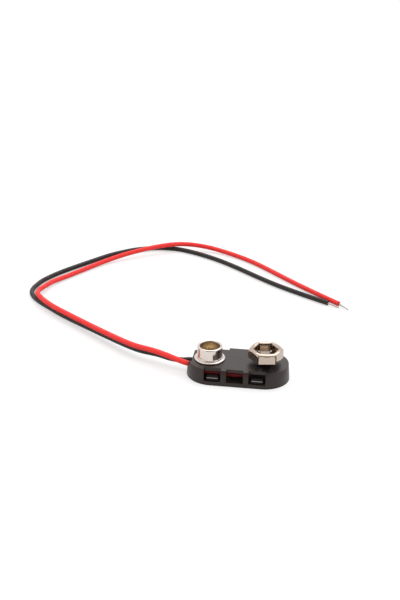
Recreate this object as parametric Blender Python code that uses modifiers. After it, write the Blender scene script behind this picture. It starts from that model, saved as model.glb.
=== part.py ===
"""Battery snap connector with two free leads, for a nine-volt block battery.

A moulded shell carries a round stud and a six-petal socket at the standard spacing. Each contact
is riveted through the deck to a solder lug below it. A base plate snaps into the shell from below
with four latches that hook over the sills of the shell's windows. Both leads enter at the stud end.

Frame: origin at the middle of the underside, +X along the shell towards the socket, +Z up.
The lengths below are in millimetres times MM.
"""
import math

import bmesh
import bpy
import numpy as np
from mathutils import Matrix, Vector

MM = 0.001

# Moulded shell
TERMINAL_SPACING = 12.7 * MM
TERMINAL_MIDDLE = -0.18 * MM
END_SPACING = 11.54 * MM
BASE_WIDTH = 11.85 * MM
SIDE_DRAFT = 0.28 * MM
SHELL_HEIGHT = 3.76 * MM
WALL = 0.88 * MM
DECK = 0.77 * MM
DECK_EDGE_ROUND = 0.14 * MM
SEAT_GAP = 0.15 * MM

# Windows in the long sides
WINDOW_WIDTH = 3.83 * MM
WINDOW_PITCH = 5.03 * MM
WINDOW_ROW_CENTRE = -0.23 * MM
REAR_WINDOW_CENTRE = 4.48 * MM
SILL_HEIGHT = 0.93 * MM

# Base plate and its latches
PLATE = 0.8 * MM
LATCH_WIDTH = 2.5 * MM
LATCH_ARM = 0.55 * MM
LATCH_TOP = 2.0 * MM
LATCH_NOSE_EDGE = 0.57 * MM
LATCH_SETBACK = 0.36 * MM
LEAD_REST_LENGTH = 0.45 * MM
LEAD_REST_WIDTH = 3.5 * MM
LEAD_REST_HEIGHT = 1.8 * MM

# Leads where they enter
LEAD_DIAMETER = 1.3 * MM
LEAD_PITCH = 2.27 * MM
LEAD_HEIGHT = 2.63 * MM
BLACK_LEAD_DROP = 0.3 * MM
EXIT_FRONT = 2.0 * MM
EXIT_REAR = 3.3 * MM
EXIT_DEPTH = 1.0 * MM
EXIT_RAMP_RISE = 0.41 * MM
EXIT_RAMP_LENGTH = 1.34 * MM

# Contacts
SHEET = 0.3 * MM
FLANGE_RADIUS = 3.52 * MM
STUD_RADIUS = 2.83 * MM
STUD_LIP = 0.04 * MM
STUD_ROLL = 0.6 * MM
STUD_HEIGHT = 3.3 * MM
STUD_BEAD_REACH = 0.18 * MM
STUD_BEAD_HEIGHT = 0.3 * MM
SOCKET_HALF_WIDTH = 3.5 * MM
SOCKET_ROLL = 1.02 * MM
SOCKET_WAIST = 0.15 * MM
SOCKET_FOOT_INSET = 0.1 * MM
SOCKET_HEIGHT = 3.5 * MM
SOCKET_SHOULDER = 0.55 * MM
SOCKET_CROWN = 0.3 * MM
SOCKET_TURN = math.radians(9)
SKIRT_LIFT = 1.21 * MM
SLIT_WIDTH = 0.27 * MM

# Rivets and lugs
RIVET_SHANK_RADIUS = 1.1 * MM
RIVET_BORE_RADIUS = 0.6 * MM
RIVET_HEAD_RADIUS = 1.75 * MM
RIVET_HEAD_HEIGHT = 0.3 * MM
RIVET_FOOT_RADIUS = 1.6 * MM
RIVET_FOOT_HEIGHT = 0.28 * MM
LUG_RADIUS = 2.0 * MM
LUG_REACH = 3.1 * MM
LUG_TAB_WIDTH = 1.4 * MM
STUD_LUG_ANGLE = math.radians(135)
SOCKET_LUG_ANGLE = math.radians(225)

# Bare wire and solder
STRAND_RADIUS = 0.22 * MM
BEAD_RADIUS = 0.6 * MM
BEAD_HALF_HEIGHT = 0.28 * MM
LEAD_POINT_SPACING = 2.3 * MM
LEAD_END_BEND = 3.66 * MM
LEAD_ENTRY = 1.6 * MM

ROUND_STEPS = 48
RIVET_STEPS = 32
PETALS = 6
PETAL_FACETS = 4

# Heights and places that follow from the sizes above
HALF_SPACING = END_SPACING / 2
BASE_RADIUS = BASE_WIDTH / 2
DECK_RADIUS = BASE_RADIUS - SIDE_DRAFT
DECK_UNDERSIDE = SHELL_HEIGHT - DECK
CAVITY_TOP_RADIUS = DECK_RADIUS - WALL
STUD_X = TERMINAL_MIDDLE - TERMINAL_SPACING / 2
SOCKET_X = TERMINAL_MIDDLE + TERMINAL_SPACING / 2
RIVET_HOLE_RADIUS = RIVET_SHANK_RADIUS + SEAT_GAP
CONTACT_BASE = SHELL_HEIGHT + SEAT_GAP
STUD_LIP_RADIUS = STUD_RADIUS + STUD_LIP
STUD_BORE_RADIUS = STUD_LIP_RADIUS - STUD_ROLL
SOCKET_MOUTH_HALF = SOCKET_HALF_WIDTH - SOCKET_ROLL
SOCKET_THROAT_HALF = SOCKET_MOUTH_HALF - SOCKET_WAIST
SOCKET_FOOT_HALF = SOCKET_MOUTH_HALF - SOCKET_FOOT_INSET
LUG_TOP = DECK_UNDERSIDE - SEAT_GAP
LUG_UNDERSIDE = LUG_TOP - SHEET
LEAD_RADIUS = LEAD_DIAMETER / 2
LEAD_CEILING = DECK_UNDERSIDE - SEAT_GAP - LEAD_RADIUS
BLACK_LEAD_HEIGHT = LEAD_HEIGHT - BLACK_LEAD_DROP
EXIT_SILL = BLACK_LEAD_HEIGHT - LEAD_RADIUS - SEAT_GAP
EXIT_X = -(HALF_SPACING + DECK_RADIUS)
BEAD_HEIGHT = LUG_UNDERSIDE - SEAT_GAP - BEAD_HALF_HEIGHT
BEAD_REACH = LUG_REACH - BEAD_RADIUS

# Free routes of the leads on the table, in millimetres, from the shell to the cut end
RED_ROUTE = [
    (-14.11, -0.72, 3.23), (-16.17, 0.10, 3.52), (-18.75, 1.54, 3.52), (-21.82, 3.22, 3.32),
    (-25.01, 4.95, 3.09), (-31.74, 9.88, 2.79), (-38.83, 15.46, 2.56), (-46.35, 21.53, 2.39),
    (-49.56, 24.10, 2.42), (-52.37, 26.95, 2.41), (-54.41, 29.47, 2.30), (-55.56, 31.68, 2.07),
    (-55.83, 34.59, 1.70), (-55.28, 37.69, 1.31), (-54.08, 41.10, 1.01), (-52.22, 44.39, 0.84),
    (-47.36, 51.85, 0.74), (-42.07, 58.54, 1.08), (-36.19, 63.19, 1.83), (-30.06, 67.19, 2.25),
    (-26.99, 68.91, 2.29), (-23.77, 70.41, 2.12), (-19.87, 71.20, 1.75), (-15.76, 70.97, 1.34),
    (-11.64, 69.73, 0.95), (-6.80, 67.05, 0.76), (-1.24, 62.62, 0.68), (9.38, 51.88, 0.68),
    (21.53, 40.54, 0.68),
]
BLACK_ROUTE = [
    (-12.50, 1.24, 2.10), (-14.50, 1.52, 1.96), (-16.50, 2.15, 1.94), (-19.04, 3.37, 1.91),
    (-22.02, 4.44, 1.77), (-25.20, 6.04, 1.61), (-31.95, 10.97, 1.28), (-39.22, 16.66, 0.97),
    (-46.71, 22.53, 0.76), (-50.59, 25.99, 0.70), (-53.95, 29.02, 0.68), (-56.36, 31.80, 0.68),
    (-57.62, 33.99, 0.68), (-58.11, 36.38, 0.68), (-57.72, 39.48, 0.68), (-56.69, 42.31, 0.68),
    (-53.27, 48.49, 0.68), (-48.13, 55.42, 0.68), (-42.83, 62.06, 0.68), (-40.00, 64.68, 0.68),
    (-37.01, 66.97, 0.68), (-33.77, 68.56, 0.68), (-30.55, 69.61, 0.68), (-27.10, 69.80, 0.68),
    (-23.62, 69.33, 0.68), (-15.03, 65.33, 0.68), (-5.86, 58.54, 0.68), (4.73, 49.71, 0.68),
    (18.75, 40.58, 0.68),
]
RED_TIP = [
    (21.75, 40.46, 0.64), (22.47, 39.75, 0.51), (23.28, 38.91, 0.43), (24.02, 37.95, 0.35),
]
BLACK_TIP = [
    (19.12, 40.32, 0.64), (20.01, 39.86, 0.56), (20.93, 39.32, 0.45), (21.63, 39.01, 0.37),
]


def in_metres(points):
    return [tuple(value * MM for value in point) for point in points]


def clear_scene():
    for item in list(bpy.data.objects):
        bpy.data.objects.remove(item, do_unlink=True)


def new_collection(name):
    collection = bpy.data.collections.new(name)
    bpy.context.scene.collection.children.link(collection)
    return collection


def make_material(name, colour, metallic, roughness):
    material = bpy.data.materials.new(name)
    material.use_nodes = True
    shader = material.node_tree.nodes["Principled BSDF"]
    shader.inputs["Base Color"].default_value = (*colour, 1.0)
    shader.inputs["Metallic"].default_value = metallic
    shader.inputs["Roughness"].default_value = roughness
    return material


def place(name, data, collection, material=None):
    item = bpy.data.objects.new(name, data)
    collection.objects.link(item)
    if material is not None:
        data.materials.append(material)
    return item


def as_guide(item):
    """Mark an object as a cutter: it shapes others and is not a part itself."""
    item.hide_render = True
    item.display_type = "WIRE"
    return item


def combine(target, tool, operation="DIFFERENCE"):
    boolean = target.modifiers.new(tool.name, "BOOLEAN")
    boolean.operation = operation
    boolean.solver = "EXACT"
    boolean.object = tool


def arc(centre_x, centre_y, radius, start, end, steps):
    """Points on a circular arc, angles in degrees."""
    angles = np.radians(np.linspace(start, end, steps + 1))
    return [(centre_x + radius * math.cos(a), centre_y + radius * math.sin(a)) for a in angles]


def evaluated_mesh(item):
    bpy.context.view_layer.update()
    depsgraph = bpy.context.evaluated_depsgraph_get()
    return bpy.data.meshes.new_from_object(item.evaluated_get(depsgraph))


def extruded(name, outlines, low, high, collection, matrix=None, material=None):
    """A flat outline, with any holes after it, filled and extruded from low to high."""
    curve = bpy.data.curves.new(name, "CURVE")
    curve.dimensions = "2D"
    curve.fill_mode = "BOTH"
    curve.extrude = (high - low) / 2
    for outline in outlines:
        spline = curve.splines.new("POLY")
        spline.points.add(len(outline) - 1)
        for point, (x, y) in zip(spline.points, outline):
            point.co = (x, y, 0.0, 1.0)
        spline.use_cyclic_u = True
    guide = place(name + "_outline", curve, collection)
    guide.matrix_world = (matrix or Matrix()) @ Matrix.Translation((0, 0, (low + high) / 2))
    mesh = evaluated_mesh(guide)
    weld(mesh)
    solid = place(name, mesh, collection, material)
    solid.matrix_world = guide.matrix_world
    bpy.data.objects.remove(guide)
    return solid


def weld(mesh):
    shape = bmesh.new()
    shape.from_mesh(mesh)
    bmesh.ops.remove_doubles(shape, verts=shape.verts, dist=1e-7)
    bmesh.ops.recalc_face_normals(shape, faces=shape.faces)
    shape.to_mesh(mesh)
    shape.free()


def turned(name, profile, steps, collection, material):
    """A closed profile of (radius, height) points swept once round the Z axis."""
    count = len(profile)
    edges = [(i, (i + 1) % count) for i in range(count)]
    mesh = bpy.data.meshes.new(name)
    mesh.from_pydata([(radius, 0.0, height) for radius, height in profile], edges, [])
    item = place(name, mesh, collection, material)
    screw = item.modifiers.new("Turn", "SCREW")
    screw.steps = steps
    screw.render_steps = steps
    screw.use_merge_vertices = True
    screw.merge_threshold = 1e-7
    screw.use_smooth_shade = True
    return item


def block(name, low, high, collection):
    """A box between two corners."""
    size = [b - a for a, b in zip(low, high)]
    middle = [(a + b) / 2 for a, b in zip(low, high)]
    shape = bmesh.new()
    bmesh.ops.create_cube(shape, size=1.0)
    bmesh.ops.scale(shape, vec=size, verts=shape.verts)
    bmesh.ops.translate(shape, vec=middle, verts=shape.verts)
    mesh = bpy.data.meshes.new(name)
    shape.to_mesh(mesh)
    shape.free()
    return place(name, mesh, collection)


def cylinder(name, radius, length, matrix, collection, segments=40):
    shape = bmesh.new()
    bmesh.ops.create_cone(
        shape, cap_ends=True, segments=segments, radius1=radius, radius2=radius, depth=length
    )
    mesh = bpy.data.meshes.new(name)
    shape.to_mesh(mesh)
    shape.free()
    item = place(name, mesh, collection)
    item.matrix_world = matrix
    return item


def tube(name, points, radius, collection, material):
    """A round wire along the points, with flat ends."""
    curve = bpy.data.curves.new(name, "CURVE")
    curve.dimensions = "3D"
    curve.bevel_depth = radius
    curve.bevel_resolution = 2
    curve.use_fill_caps = True
    spline = curve.splines.new("POLY")
    spline.points.add(len(points) - 1)
    for point, place_of_point in zip(spline.points, points):
        point.co = (*place_of_point, 1.0)
    return place(name, curve, collection, material)


def smooth_route(route, spacing):
    """Evenly spaced points on the natural cubic through the route's own points."""
    knots = np.array(route)
    chords = np.sqrt(np.linalg.norm(np.diff(knots, axis=0), axis=1))
    t = np.concatenate([[0.0], np.cumsum(chords)])
    count = len(knots)
    system = np.eye(count)
    right = np.zeros((count, 3))
    slopes = np.diff(knots, axis=0) / chords[:, None]
    for i in range(1, count - 1):
        system[i, i - 1] = chords[i - 1]
        system[i, i] = 2 * (chords[i - 1] + chords[i])
        system[i, i + 1] = chords[i]
        right[i] = 6 * (slopes[i] - slopes[i - 1])
    bend = np.linalg.solve(system, right)
    fine = np.linspace(0.0, t[-1], 60 * count)
    span = np.clip(np.searchsorted(t, fine, side="right") - 1, 0, count - 2)
    width = chords[span][:, None]
    after = (fine - t[span])[:, None]
    before = width - after
    curve = (bend[span] * before**3 + bend[span + 1] * after**3) / (6 * width)
    curve += (knots[span] / width - bend[span] * width / 6) * before
    curve += (knots[span + 1] / width - bend[span + 1] * width / 6) * after
    travelled = np.concatenate([[0.0], np.cumsum(np.linalg.norm(np.diff(curve, axis=0), axis=1))])
    stops = np.linspace(0.0, travelled[-1], round(travelled[-1] / spacing) + 1)
    return np.stack([np.interp(stops, travelled, curve[:, axis]) for axis in range(3)], axis=1)


def stadium(radius, steps=24):
    """A long outline with round ends of this radius, END_SPACING apart."""
    right_end = arc(HALF_SPACING, 0.0, radius, -90, 90, steps)
    left_end = arc(-HALF_SPACING, 0.0, radius, 90, 270, steps)
    return right_end + left_end


def drafted_stadium(name, low, high, radius_low, radius_high, collection, material=None):
    """A stadium-shaped solid whose sides lean from one radius to another."""
    solid = extruded(name, [stadium(radius_low)], low, high, collection, material=material)
    for vertex in solid.data.vertices:
        if vertex.co.z > 0:
            end = max(-HALF_SPACING, min(HALF_SPACING, vertex.co.x))
            vertex.co.x = end + (vertex.co.x - end) * radius_high / radius_low
            vertex.co.y *= radius_high / radius_low
    return solid


def side_radius(height, inset=0.0):
    """The shell's half width at a height, less an inset from its outer face."""
    return BASE_RADIUS - SIDE_DRAFT * height / SHELL_HEIGHT - inset


def half_width_at(x, radius):
    """Half width of a stadium of this radius at one place along it."""
    beyond = max(0.0, abs(x) - HALF_SPACING)
    return math.sqrt(radius**2 - beyond**2)


def end_reach_at(y, radius):
    """Distance from the middle to a stadium's end face at one place across it."""
    return HALF_SPACING + math.sqrt(radius**2 - y**2)


def front_windows():
    return [WINDOW_ROW_CENTRE + step * WINDOW_PITCH for step in (-1, 0, 1)]


def latch_places():
    """Middle of each latch along X, with -1 for the front side and 1 for the rear."""
    front = front_windows()
    return [(front[0], -1), (front[2], -1), (-REAR_WINDOW_CENTRE, 1), (REAR_WINDOW_CENTRE, 1)]


def window_places():
    return latch_places() + [(front_windows()[1], -1)]


def window_cutter(index, centre, side, cutters):
    """A window is a notch through the wall and the deck's edge, open at the top."""
    far_end = abs(centre) + WINDOW_WIDTH / 2
    inner = half_width_at(far_end, CAVITY_TOP_RADIUS) - SEAT_GAP / 5
    outer = 2 * BASE_RADIUS
    low_y, high_y = sorted((side * inner, side * outer))
    low = (centre - WINDOW_WIDTH / 2, low_y, SILL_HEIGHT)
    high = (centre + WINDOW_WIDTH / 2, high_y, 2 * SHELL_HEIGHT)
    return block(f"window_{index}", low, high, cutters)


def lead_exit_cutter(cutters):
    """The notch for both leads, with a ramp under the deck that lets them dip inside."""
    outside = 2 * EXIT_X
    deck_edge = EXIT_X + EXIT_DEPTH
    ramp_end = deck_edge + EXIT_RAMP_LENGTH
    outline = [
        (outside, EXIT_SILL),
        (ramp_end, EXIT_SILL),
        (ramp_end, DECK_UNDERSIDE - SEAT_GAP),
        (deck_edge, DECK_UNDERSIDE + EXIT_RAMP_RISE),
        (deck_edge, 2 * SHELL_HEIGHT),
        (outside, 2 * SHELL_HEIGHT),
    ]
    upright = Matrix.Rotation(math.pi / 2, 4, "X")
    return extruded("lead_exit", [outline], -EXIT_REAR, EXIT_FRONT, cutters, matrix=upright)


def make_upper_shell(parts, cutters, material):
    shell = drafted_stadium(
        "upper_shell", 0.0, SHELL_HEIGHT, BASE_RADIUS, DECK_RADIUS, parts, material
    )
    soften = shell.modifiers.new("Deck edge", "BEVEL")
    soften.width = DECK_EDGE_ROUND
    soften.segments = 2
    soften.limit_method = "ANGLE"
    soften.angle_limit = math.radians(60)
    cavity_low = -DECK
    cavity = drafted_stadium(
        "cavity", cavity_low, DECK_UNDERSIDE,
        side_radius(cavity_low, WALL), side_radius(DECK_UNDERSIDE, WALL), cutters,
    )
    tools = [cavity, lead_exit_cutter(cutters)]
    for index, (centre, side) in enumerate(window_places()):
        tools.append(window_cutter(index, centre, side, cutters))
    for name, x in (("stud_hole", STUD_X), ("socket_hole", SOCKET_X)):
        upright = Matrix.Translation((x, 0, SHELL_HEIGHT))
        tools.append(cylinder(name, RIVET_HOLE_RADIUS, 4 * DECK, upright, cutters))
    for tool in tools:
        combine(shell, as_guide(tool))
    return shell


def latch(index, centre, side, cutters):
    """A springy arm with a wedge nose that hooks over the sill of a window."""
    far_end = abs(centre) + LATCH_WIDTH / 2
    outer = half_width_at(far_end, CAVITY_TOP_RADIUS) - SEAT_GAP
    inner = outer - LATCH_ARM
    nose = half_width_at(far_end, side_radius(SILL_HEIGHT)) - LATCH_SETBACK
    nose_low = SILL_HEIGHT + SEAT_GAP
    outline = [
        (inner, PLATE / 2),
        (outer, PLATE / 2),
        (outer, nose_low),
        (nose, nose_low),
        (nose, nose_low + LATCH_NOSE_EDGE),
        (outer, LATCH_TOP),
        (inner, LATCH_TOP),
    ]
    facing = Matrix((
        (0, 0, side, centre),
        (side, 0, 0, 0),
        (0, 1, 0, 0),
        (0, 0, 0, 1),
    ))
    half = LATCH_WIDTH / 2
    return extruded(f"latch_{index}", [outline], -half, half, cutters, matrix=facing)


def lead_rest(cutters):
    """A low rib across the lead end of the plate, just inside the shell's end wall."""
    half = LEAD_REST_WIDTH / 2
    outer = -end_reach_at(half, side_radius(LEAD_REST_HEIGHT, WALL) - SEAT_GAP)
    low = (outer, -half, PLATE / 2)
    high = (outer + LEAD_REST_LENGTH, half, LEAD_REST_HEIGHT)
    return block("lead_rest", low, high, cutters)


def lead_groove(name, side, cutters):
    along_x = Matrix.Rotation(math.pi / 2, 4, "Y")
    middle = Matrix.Translation((EXIT_X + 2 * EXIT_DEPTH, side * LEAD_PITCH / 2, LEAD_CEILING + SEAT_GAP))
    return cylinder(name, LEAD_RADIUS + SEAT_GAP, 4 * EXIT_DEPTH, middle @ along_x, cutters)


def make_base_plate(parts, cutters, material):
    plate = drafted_stadium(
        "base_plate", 0.0, PLATE,
        side_radius(0.0, WALL + SEAT_GAP), side_radius(PLATE, WALL + SEAT_GAP), parts, material,
    )
    for index, (centre, side) in enumerate(latch_places()):
        combine(plate, as_guide(latch(index, centre, side, cutters)), "UNION")
    combine(plate, as_guide(lead_rest(cutters)), "UNION")
    for name, side in (("red_groove", -1), ("black_groove", 1)):
        combine(plate, as_guide(lead_groove(name, side, cutters)))
    return plate


def stud_profile():
    """Drawn sheet: rolled rim, upright wall, bead round its foot and flange, down the outer side."""
    floor = CONTACT_BASE + SHEET
    rim_radius = (STUD_LIP_RADIUS - STUD_BORE_RADIUS) / 2
    rim_height = SHELL_HEIGHT + STUD_HEIGHT - rim_radius
    rim_middle = STUD_BORE_RADIUS + rim_radius
    corner = SHEET / 2
    fillet = SHEET / 3
    bead_top = floor + STUD_BEAD_HEIGHT
    bead_edge = fillet / 2
    bead_radius = STUD_RADIUS + STUD_BEAD_REACH
    outer_fillet = arc(STUD_RADIUS + fillet, bead_top + fillet, fillet, 180, 270, 3)
    bead = arc(bead_radius - bead_edge, bead_top - bead_edge, bead_edge, 90, 0, 2)
    flange_edge = arc(FLANGE_RADIUS - corner, floor - corner, corner, 90, 0, 4)
    inner_fillet = arc(STUD_BORE_RADIUS - corner, floor + corner, corner, 270, 360, 4)
    return (
        arc(rim_middle, rim_height, rim_radius, 180, 0, 10)
        + [(STUD_LIP_RADIUS, rim_height - rim_radius / 2), (STUD_RADIUS, rim_height - rim_radius)]
        + outer_fillet
        + bead
        + [(bead_radius, floor)]
        + flange_edge
        + [(FLANGE_RADIUS, CONTACT_BASE), (RIVET_HOLE_RADIUS, CONTACT_BASE)]
        + [(RIVET_HOLE_RADIUS, floor)]
        + inner_fillet
    )


def make_stud_contact(parts, material):
    stud = turned("stud_contact", stud_profile(), ROUND_STEPS, parts, material)
    stud.location.x = STUD_X
    return stud


def socket_section():
    """Middle of the sheet from the base, up a petal's waisted wall, over its rim, down its skirt.

    Each point is (distance from the axis to the flat, height, share of the rim's crown).
    """
    half = SHEET / 2
    base = CONTACT_BASE + half
    skirt = SOCKET_HALF_WIDTH - half
    mouth = SOCKET_MOUTH_HALF + half
    throat = SOCKET_THROAT_HALF + half
    foot = SOCKET_FOOT_HALF + half
    rim_radius = (skirt - mouth) / 2
    rim_top = SHELL_HEIGHT + SOCKET_HEIGHT - half
    rim_height = rim_top - rim_radius
    bend = SHEET
    wall_low = base + bend
    rise = rim_height - wall_low
    base_bend = arc(foot - bend, base + bend, bend, 270, 360, 4)
    roll = []
    for angle in np.radians(np.linspace(180, 0, 9)):
        depth = rim_radius if angle > math.pi / 2 else SOCKET_SHOULDER
        flat = mouth + rim_radius * (1 + math.cos(angle))
        share = math.sin(angle) * (1 + math.cos(angle))
        roll.append((flat, rim_top - depth * (1 - math.sin(angle)), share))
    waist = []
    for share in (0.25, 0.5, 0.75):
        straight = foot + (mouth - foot) * share
        pull = (straight - throat) * math.sin(math.pi * share)
        waist.append((straight - pull, wall_low + rise * share, 0.0))
    return (
        [(RIVET_SHANK_RADIUS, base, 0.0)]
        + [(flat, height, 0.0) for flat, height in base_bend]
        + waist
        + roll
        + [(skirt, SHELL_HEIGHT + SKIRT_LIFT, 0.0)]
    )


def crowned_petals(section):
    """The sheet's middle surface: the section carried across each of the six flats.

    A point stands off its flat by the crown's share times 2/3 - s^2, with s from -1 to 1 across.
    """
    count = PETALS * PETAL_FACETS
    column = np.arange(count)
    across = 2 * (column % PETAL_FACETS) / PETAL_FACETS - 1
    turn = (column // PETAL_FACETS + 0.5) * math.tau / PETALS
    flat, height, share = np.array(section).T[:, :, None]
    out = flat + SOCKET_CROWN * share * (2 / 3 - across**2)
    along = flat * math.tan(math.pi / PETALS) * across
    x = out * np.cos(turn) - along * np.sin(turn)
    y = out * np.sin(turn) + along * np.cos(turn)
    points = np.stack([x, y, np.broadcast_to(height, x.shape)], axis=-1).reshape(-1, 3)
    faces = [
        (row * count + k, row * count + (k + 1) % count,
         (row + 1) * count + (k + 1) % count, (row + 1) * count + k)
        for row in range(len(section) - 1) for k in range(count)
    ]
    return points.tolist(), faces


def make_socket_contact(parts, cutters, material):
    """A six-sided crown of folded sheet, slit at its corners into springy petals."""
    points, faces = crowned_petals(socket_section())
    mesh = bpy.data.meshes.new("socket_contact")
    mesh.from_pydata(points, [], faces)
    socket = place("socket_contact", mesh, parts, material)
    socket.location.x = SOCKET_X
    socket.rotation_euler.z = SOCKET_TURN
    sheet = socket.modifiers.new("Sheet", "SOLIDIFY")
    sheet.thickness = SHEET
    sheet.offset = 0.0
    sheet.use_even_offset = True
    slit_foot = CONTACT_BASE + 2 * SHEET
    slit_top = 2 * (SHELL_HEIGHT + SOCKET_HEIGHT)
    for petal in range(PETALS):
        low = (SOCKET_THROAT_HALF - SHEET, -SLIT_WIDTH / 2, slit_foot)
        high = (2 * SOCKET_HALF_WIDTH, SLIT_WIDTH / 2, slit_top)
        slit = block(f"slit_{petal}", low, high, cutters)
        turn = Matrix.Rotation(SOCKET_TURN + petal * math.tau / PETALS, 4, "Z")
        slit.matrix_world = Matrix.Translation((SOCKET_X, 0, 0)) @ turn
        combine(socket, as_guide(slit))
    upright = Matrix.Translation((SOCKET_X, 0, CONTACT_BASE))
    hole = cylinder("socket_rivet_hole", RIVET_HOLE_RADIUS, 4 * SHEET, upright, cutters)
    combine(socket, as_guide(hole))
    return socket


def rivet_profile():
    """A hollow rivet: domed head above the contact, shank, and a rolled foot below the lug."""
    head_low = CONTACT_BASE + SHEET + SEAT_GAP
    head_high = head_low + RIVET_HEAD_HEIGHT
    foot_high = LUG_UNDERSIDE - SEAT_GAP
    foot_low = foot_high - RIVET_FOOT_HEIGHT
    head_edge = RIVET_HEAD_HEIGHT / 2
    foot_edge = RIVET_FOOT_HEIGHT / 2
    return (
        [(RIVET_BORE_RADIUS, head_high - head_edge), (RIVET_BORE_RADIUS + head_edge, head_high)]
        + arc(RIVET_HEAD_RADIUS - head_edge, head_high - head_edge, head_edge, 90, 0, 4)
        + [(RIVET_HEAD_RADIUS - head_edge / 2, head_low), (RIVET_SHANK_RADIUS, head_low)]
        + [(RIVET_SHANK_RADIUS, foot_high), (RIVET_FOOT_RADIUS - foot_edge, foot_high)]
        + arc(RIVET_FOOT_RADIUS - foot_edge, foot_high - foot_edge, foot_edge, 60, -90, 4)
        + [(RIVET_BORE_RADIUS + foot_edge, foot_low), (RIVET_BORE_RADIUS, foot_low + foot_edge)]
    )


def make_rivet(name, x, parts, material):
    rivet = turned(name, rivet_profile(), RIVET_STEPS, parts, material)
    rivet.location.x = x
    return rivet


def make_solder_lug(name, x, angle, parts, material):
    """A washer of sheet under the deck, with a tab for the lead."""
    half = LUG_TAB_WIDTH / 2
    root = math.degrees(math.asin(half / LUG_RADIUS))
    corner = half / 2
    outline = (
        arc(0.0, 0.0, LUG_RADIUS, root, 360 - root, 28)
        + arc(LUG_REACH - corner, corner - half, corner, -90, 0, 4)
        + arc(LUG_REACH - corner, half - corner, corner, 0, 90, 4)
    )
    hole = arc(0.0, 0.0, RIVET_HOLE_RADIUS, 0, 360 - 360 / RIVET_STEPS, RIVET_STEPS - 1)
    turn = Matrix.Translation((x, 0, 0)) @ Matrix.Rotation(angle, 4, "Z")
    return extruded(
        name, [outline, hole], LUG_UNDERSIDE, LUG_TOP, parts, matrix=turn, material=material
    )


def bead_place(x, angle):
    """Where a lead is soldered, under its lug's tab."""
    return (x + BEAD_REACH * math.cos(angle), BEAD_REACH * math.sin(angle), BEAD_HEIGHT)


def make_soldered_end(name, start, bead, parts, cutters, material):
    """The stripped end of a lead, bent under the lug, with its bead of solder."""
    middle = [(a + b) / 2 for a, b in zip(start, bead)]
    middle[2] = bead[2]
    guide = tube(name + "_strands", smooth_route([start, middle, bead], BEAD_RADIUS / 2),
                 STRAND_RADIUS, cutters, material)
    mesh = evaluated_mesh(guide)
    weld(mesh)
    end = place(name, mesh, parts)
    bpy.data.objects.remove(guide)
    shape = bmesh.new()
    bmesh.ops.create_uvsphere(shape, u_segments=16, v_segments=8, radius=BEAD_RADIUS)
    flatten = (1.0, 1.0, BEAD_HALF_HEIGHT / BEAD_RADIUS)
    bmesh.ops.scale(shape, vec=flatten, verts=shape.verts)
    blob = bpy.data.meshes.new(name + "_bead")
    shape.to_mesh(blob)
    shape.free()
    solder = place(name + "_bead", blob, cutters)
    solder.location = bead
    combine(end, as_guide(solder), "UNION")
    return end


def red_inner_route():
    """Along the inside of the front wall, from the socket's lug back to the exit."""
    front = -(half_width_at(front_windows()[0] - LATCH_WIDTH / 2, CAVITY_TOP_RADIUS)
              - LATCH_ARM - 2 * SEAT_GAP - LEAD_RADIUS)
    low = LEAD_CEILING - SEAT_GAP
    half_pitch = LEAD_PITCH / 2
    bend = arc(-HALF_SPACING, 0.0, LEAD_END_BEND, -122, -155, 2)
    end_bend = [(x, y, LEAD_CEILING - SEAT_GAP / 3) for x, y in bend]
    return [
        (SOCKET_X - LUG_REACH, front, LEAD_CEILING),
        (SOCKET_X - 1.4 * LUG_REACH, front, low),
        (TERMINAL_MIDDLE, front - SEAT_GAP, low - SEAT_GAP),
        (STUD_X + LUG_RADIUS, front, low),
        (STUD_X, front, LEAD_CEILING - SEAT_GAP / 2),
        *end_bend,
        (EXIT_X + LEAD_ENTRY, -half_pitch, LEAD_CEILING + SEAT_GAP),
        (EXIT_X + EXIT_DEPTH, -half_pitch, LEAD_HEIGHT - SEAT_GAP),
        (EXIT_X, -half_pitch, LEAD_HEIGHT),
    ]


def black_inner_route():
    """A short stretch from the exit to the end of the insulation beside the stud's lug."""
    half_pitch = LEAD_PITCH / 2
    return [
        (EXIT_X + LEAD_ENTRY, half_pitch, LEAD_CEILING + SEAT_GAP / 2),
        (EXIT_X + EXIT_DEPTH, half_pitch, LEAD_CEILING + 2 * SEAT_GAP / 3),
        (EXIT_X, half_pitch, BLACK_LEAD_HEIGHT),
    ]


def make_leads(parts, cutters, finishes):
    """Both leads, with a bare tinned tip outside and a soldered end inside."""
    for colour, inner, free, tip, x, angle in (
        ("red", red_inner_route(), RED_ROUTE, RED_TIP, SOCKET_X, SOCKET_LUG_ANGLE),
        ("black", black_inner_route(), BLACK_ROUTE, BLACK_TIP, STUD_X, STUD_LUG_ANGLE),
    ):
        insulation = finishes[colour + "_insulation"]
        tinned = finishes["tinned_copper"]
        route = smooth_route(inner + in_metres(free), LEAD_POINT_SPACING)
        tube(colour + "_lead", route, LEAD_RADIUS, parts, insulation)
        tip_route = smooth_route(in_metres(tip), 2 * STRAND_RADIUS)
        tube(colour + "_tinned_tip", tip_route, STRAND_RADIUS, parts, tinned)
        inward = Vector(inner[0]) - Vector(inner[1])
        start = Vector(inner[0]) + inward.normalized() * SEAT_GAP
        make_soldered_end(
            colour + "_soldered_end", tuple(start), bead_place(x, angle), parts, cutters, tinned
        )


def shade_round(parts):
    for item in parts.objects:
        if item.type == "MESH" and item.data.polygons:
            item.data.shade_smooth()
            item.data.set_sharp_from_angle(angle=math.radians(35))


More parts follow.
